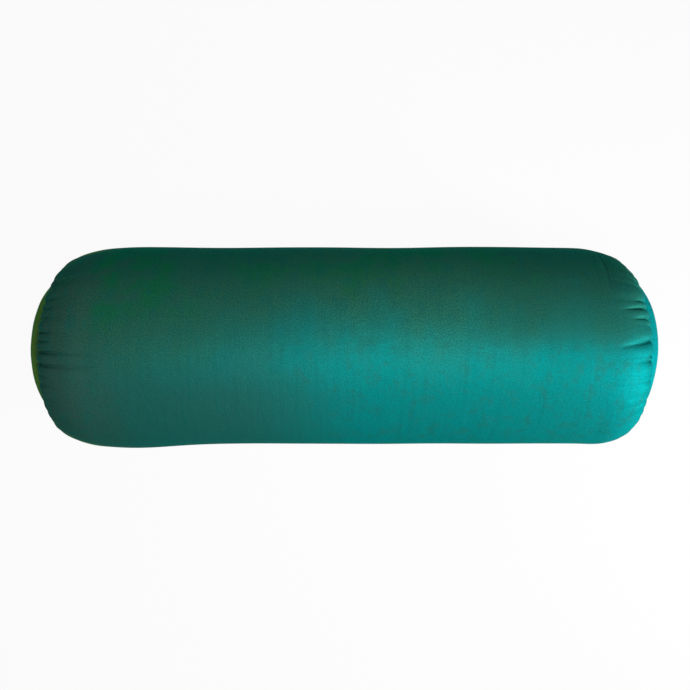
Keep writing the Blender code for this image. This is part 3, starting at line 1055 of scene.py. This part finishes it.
class Nodes:
    """Adds nodes to a tree, each with its inputs given as values or as other sockets."""

    def __init__(self, owner):
        owner.use_nodes = True
        self.tree = owner.node_tree

    def add(self, kind, inputs=None, **settings):
        node = self.tree.nodes.new(kind)
        for name, value in settings.items():
            setattr(node, name, value)
        self.fill(node, inputs or {})
        return node

    def fill(self, node, inputs):
        for name, value in inputs.items():
            if isinstance(value, bpy.types.NodeSocket):
                self.tree.links.new(value, node.inputs[name])
            else:
                node.inputs[name].default_value = value

    def place(self):
        return self.add("ShaderNodeTexCoord").outputs["Object"]

    def split(self, vector):
        return list(self.add("ShaderNodeSeparateXYZ", {0: vector}).outputs)

    def math(self, operation, first, second=0.0, third=0.0):
        node = self.add("ShaderNodeMath", {0: first, 1: second, 2: third}, operation=operation)
        return node.outputs[0]

    def line(self, value, slope, start):
        """The value times a slope, added to a start."""
        return self.math("MULTIPLY_ADD", value, slope, start)

    def product(self, first, *others):
        for other in others:
            first = self.math("MULTIPLY", first, other)
        return first

    def mix(self, share, first, second):
        return self.add("ShaderNodeMix", {0: share, 6: first, 7: second}, data_type="RGBA").outputs[2]

    def noise(self, vector, pattern):
        if pattern.stretch:
            inputs = {0: vector, 1: pattern.stretch}
            vector = self.add("ShaderNodeVectorMath", inputs, operation="MULTIPLY").outputs[0]
        return self.add("ShaderNodeTexNoise", {
            "Vector": vector,
            "Scale": pattern.scale,
            "Detail": pattern.detail,
            "Roughness": pattern.roughness,
        }).outputs["Fac"]

    def ramp(self, value, span):
        """0 at the span's first value and beyond it, 1 from its second one, smooth between them."""
        inputs = {"Value": value, "From Min": span[0], "From Max": span[1]}
        return self.add("ShaderNodeMapRange", inputs, interpolation_type="SMOOTHSTEP").outputs[0]

    def bump(self, height, distance, normal=None):
        inputs = {"Height": height, "Distance": distance, "Strength": 1.0}
        if normal is not None:
            inputs["Normal"] = normal
        return self.add("ShaderNodeBump", inputs).outputs[0]

    def seen(self):
        """1 where the camera looks straight, in a mirror or through glass, and 0 for other rays."""
        path = self.add("ShaderNodeLightPath").outputs
        seen = self.math("MAXIMUM", path["Is Camera Ray"], path["Is Glossy Ray"])
        return self.math("MAXIMUM", seen, path["Is Transmission Ray"])


def new_material(name):
    material = bpy.data.materials.new(name)
    return material, Nodes(material)


def finished(material, inputs):
    """The material, once its shader has these inputs."""
    nodes = Nodes(material)
    nodes.fill(nodes.tree.nodes["Principled BSDF"], inputs)
    return material


def plain_weave(nodes, across, along, pitch):
    """Height of a plain weave: warp threads over weft ones and under the next, in turn."""
    warp_wave = nodes.math("SINE", nodes.product(across, math.pi / pitch))
    weft_wave = nodes.math("SINE", nodes.product(along, math.pi / pitch))
    warp = nodes.math("ABSOLUTE", warp_wave)
    weft = nodes.math("ABSOLUTE", weft_wave)
    warp_on_top = nodes.math("GREATER_THAN", nodes.product(warp_wave, weft_wave), 0.0)
    warp_height = nodes.product(warp, nodes.line(weft, 0.5, 0.5))
    weft_height = nodes.product(weft, nodes.line(warp, 0.5, 0.5))
    inputs = {0: warp_on_top, 2: weft_height, 3: warp_height}
    return nodes.add("ShaderNodeMix", inputs, data_type="FLOAT").outputs[0]


def cotton_material(name, is_panel):
    """Dyed cotton with a soft shine, painted highlights and painted shade over the dye, and a painted
    olive rim light where the left end is seen edge on.
    """
    material, nodes = new_material(name)
    place = nodes.place()
    x, y, z = nodes.split(place)
    weave = nodes.add("ShaderNodeAttribute", attribute_name="weave").outputs["Vector"]
    across, along, _ = nodes.split(weave)

    # Painted shade: the tone falls towards the back and the left end, where the cloth turns green
    light_and_cloud_tone = nodes.line(y, tone_slope, axis_tone)
    light_and_cloud_tone = nodes.math("MINIMUM", nodes.math("MAXIMUM", light_and_cloud_tone, tone_limits[0]), tone_limits[1])
    left = nodes.math("MINIMUM", nodes.math("ADD", x, left_tone_start), 0.0)
    light_and_cloud_tone = nodes.line(left, left_tone_slope, light_and_cloud_tone)
    cloud = nodes.math("SUBTRACT", nodes.noise(place, clouds), 0.5)
    light_and_cloud_tone = nodes.line(cloud, cloud_strength, light_and_cloud_tone)
    blue = nodes.ramp(light_and_cloud_tone, blue_tones)
    color = nodes.mix(blue, shade_and_cloud_green, teal_color)

    def share_here(dye_or_light, *shares):
        spans = ((light_and_cloud_tone, dye_or_light.tones), (x, dye_or_light.x), (y, dye_or_light.y))
        ramps = [nodes.ramp(value, span) for value, span in spans if span]
        return nodes.product(*shares, *ramps, dye_or_light.share)

    def tint(color, dye_or_light, *shares):
        return nodes.mix(share_here(dye_or_light, *shares), color, dye_or_light.color)

    # Painted highlights
    if is_panel:
        color = tint(color, painted_panel_highlight)
    else:
        share = nodes.line(share_here(painted_middle_highlight), painted_middle_highlight_share, share_here(painted_highlight))
        color = nodes.mix(share, color, painted_highlight.color)
    # Painted shade: the duller left, the shaded back, the greyer left end and green patches in shade
    color = tint(color, painted_left_shade, nodes.line(nodes.ramp(y, painted_left_shade_y), *painted_left_shade_shares))
    color = tint(color, shaded, nodes.ramp(x, shaded_end_x))
    color = tint(color, painted_left_end_shade)
    color = tint(color, shade_green_patches, nodes.ramp(nodes.noise(place, shade_green_spots), shade_green_patches.spots))
    color = tint(color, patchy, nodes.ramp(nodes.noise(place, patches), patchy.spots))
    streak = nodes.noise(weave, streaks)
    color = tint(color, streaky, nodes.ramp(streak, streaky.spots))
    fuzz = nodes.noise(weave, nap)
    color = tint(color, fuzzy, nodes.ramp(fuzz, fuzzy.spots), nodes.line(blue, *fuzzy_shares))
    color = tint(color, linty, nodes.ramp(nodes.noise(weave, lint), linty.spots))

    # Painted shade along the crease line, which also dents the relief
    from_line = nodes.math("SUBTRACT", nodes.line(y, line_slope, x), line_x)
    beside = nodes.ramp(nodes.math("ABSOLUTE", from_line), line_width)
    on_line = nodes.math("SUBTRACT", 1.0, beside)
    on_line = nodes.product(on_line, nodes.ramp(y, line_y), nodes.ramp(z, line_z))
    color = tint(color, painted_crease_shade, on_line)

    # Painted olive rim light, by how edge on the cloth is seen
    facing = nodes.add("ShaderNodeLayerWeight", {"Blend": 0.5}).outputs["Facing"]
    color = tint(color, painted_olive_rim_light, nodes.ramp(facing, panel_rim_light_facing if is_panel else rim_light_facing))

    threads = plain_weave(nodes, across, along, cotton_pitch)
    normal = nodes.bump(nodes.noise(place, crumple), crumple_relief)
    normal = nodes.bump(on_line, line_relief, normal)
    normal = nodes.bump(fuzz, nap_relief, normal)
    normal = nodes.bump(streak, streak_relief, normal)
    return finished(material, {
        "Base Color": nodes.mix(nodes.line(threads, *gap_shares), color, gap_color),
        "Normal": nodes.bump(threads, thread_relief, normal),
        "Roughness": nodes.line(fuzz, *cotton_roughness),
        "Metallic": 0.19,
        "Specular IOR Level": 0.0,
        "Specular Tint": (0.1, 0.9, 0.8, 1.0),
    })


def cloth_material(cloth):
    """A plain woven cloth in two tones, with slubs and a soft unevenness."""
    material, nodes = new_material(cloth.name)
    place = nodes.place()
    x, y, z = nodes.split(place)
    color = nodes.mix(nodes.ramp(nodes.noise(place, slubs), cloth_spots), cloth.dark, cloth.light)
    threads = plain_weave(nodes, x, nodes.math("ADD", y, z), cloth.pitch)
    return finished(material, {
        "Base Color": nodes.mix(nodes.line(threads, *gap_shares), color, cloth.dark),
        "Normal": nodes.bump(threads, cloth.pitch * cloth_relief),
        "Roughness": cloth.roughness,
        "Specular IOR Level": 0.25,
    })


def fibre_material():
    material, nodes = new_material("packed fibre")
    strand = nodes.noise(nodes.place(), strands)
    return finished(material, {
        "Base Color": nodes.mix(nodes.ramp(strand, fibre_spots), *fibre_colors),
        "Normal": nodes.bump(strand, fibre_relief),
        "Roughness": 0.95,
    })


def plastic_material():
    material, nodes = new_material("moulded teeth")
    wear = nodes.noise(nodes.place(), tooth_wear)
    return finished(material, {
        "Base Color": nodes.mix(nodes.ramp(wear, tooth_spots), *tooth_colors),
        "Normal": nodes.bump(wear, tooth_relief),
        "Roughness": nodes.line(wear, *tooth_roughness),
    })


def metal_material():
    """Nickel-plated zinc: a soft shine, fine rub marks and slightly darker worn spots."""
    material, nodes = new_material("plated metal")
    place = nodes.place()
    rub = nodes.noise(place, rubs)
    wear = nodes.noise(place, metal_wear)
    return finished(material, {
        "Base Color": nodes.mix(nodes.ramp(wear, metal_spots), *metal_colors),
        "Normal": nodes.bump(rub, metal_relief),
        "Roughness": nodes.line(wear, wear_roughness, nodes.line(rub, *rub_roughness)),
        "Metallic": 1.0,
    })


def add_camera():
    camera = bpy.data.objects.new("camera", bpy.data.cameras.new("camera"))
    camera.data.sensor_width = 36.0
    camera.data.lens = 35.32
    camera.location = (0.0, 0.0, camera_height)
    scene.collection.objects.link(camera)
    scene.camera = camera


def add_lamp(lamp):
    data = bpy.data.lights.new(lamp.name, "AREA")
    data.shape = "DISK"
    data.size = 0.30
    data.energy = lamp.power
    data.color = lamp.color
    light = bpy.data.objects.new(lamp.name, data)
    light.location = lamp.place
    direction = Vector(lamp_target) - Vector(lamp.place)
    light.rotation_euler = direction.to_track_quat("-Z", "Y").to_euler()
    scene.collection.objects.link(light)


def add_stage():
    """A pale floor that takes the object's shadow and that the camera sees nearly white."""
    corners = [(floor_half * x, floor_half * y, 0.0) for x, y in ((-1, -1), (1, -1), (1, 1), (-1, 1))]
    floor = new_piece("floor", corners, [(0, 1, 2, 3)], None, smooth=False)
    material, nodes = new_material("floor")
    nodes.tree.nodes.clear()
    glow_share = nodes.math("MULTIPLY", nodes.seen(), floor_glow)
    diffuse = nodes.add("ShaderNodeBsdfDiffuse", {"Color": (0.8, 0.8, 0.8, 1.0)}).outputs[0]
    glow = nodes.add("ShaderNodeEmission", {"Strength": 1.0}).outputs[0]
    mixer = nodes.add("ShaderNodeMixShader", {0: glow_share, 1: diffuse, 2: glow})
    nodes.add("ShaderNodeOutputMaterial", {"Surface": mixer.outputs[0]})
    floor.data.materials.append(material)


def add_world():
    """A weak warm light from all round, behind which the camera and polished metal see white."""
    world = bpy.data.worlds.new("world")
    scene.world = world
    nodes = Nodes(world)
    seen = nodes.seen()
    nodes.fill(world.node_tree.nodes["Background"], {
        "Strength": nodes.math("MAXIMUM", seen, ambient_strength),
        "Color": nodes.mix(seen, ambient_color, white),
    })


def finish_solids(tape, metal):
    """Gives the solids that stay in view their finish."""
    tapes = ("zip_tape_upper", "zip_tape_lower")
    stops = ("zip_bottom_stop", "zip_top_stop_upper", "zip_top_stop_lower")
    fittings = ("zip_slider", "zip_pull_tab", *stops)
    for names, material in ((tapes, tape), (fittings, metal)):
        for name in names:
            for slot in bpy.data.objects[name].material_slots:
                slot.material = material


def build_all():
    scene.view_settings.view_transform = "Standard"
    add_camera()
    add_stage()
    add_world()
    for lamp in lamps:
        add_lamp(lamp)

    cotton = cotton_material("teal cotton", False)
    panel_cotton = cotton_material("teal cotton of the ends", True)
    right = with_all_creases(right_end)
    left = with_all_creases(left_end)
    cover = build_cover_body(right, left, cotton)
    build_end_panel(right, panel_cotton)
    build_end_panel(left, panel_cotton)
    build_inner_layers(cloth_material(calico_cloth), fibre_material())
    teeth = plastic_material()
    build_teeth_row("zip_teeth_upper", -1, 0.0, teeth)
    build_teeth_row("zip_teeth_lower", 1, tooth_pitch / 2, teeth)
    build_topstitch(cover, cotton)
    finish_solids(cloth_material(tape_cloth), metal_material())


build_all()
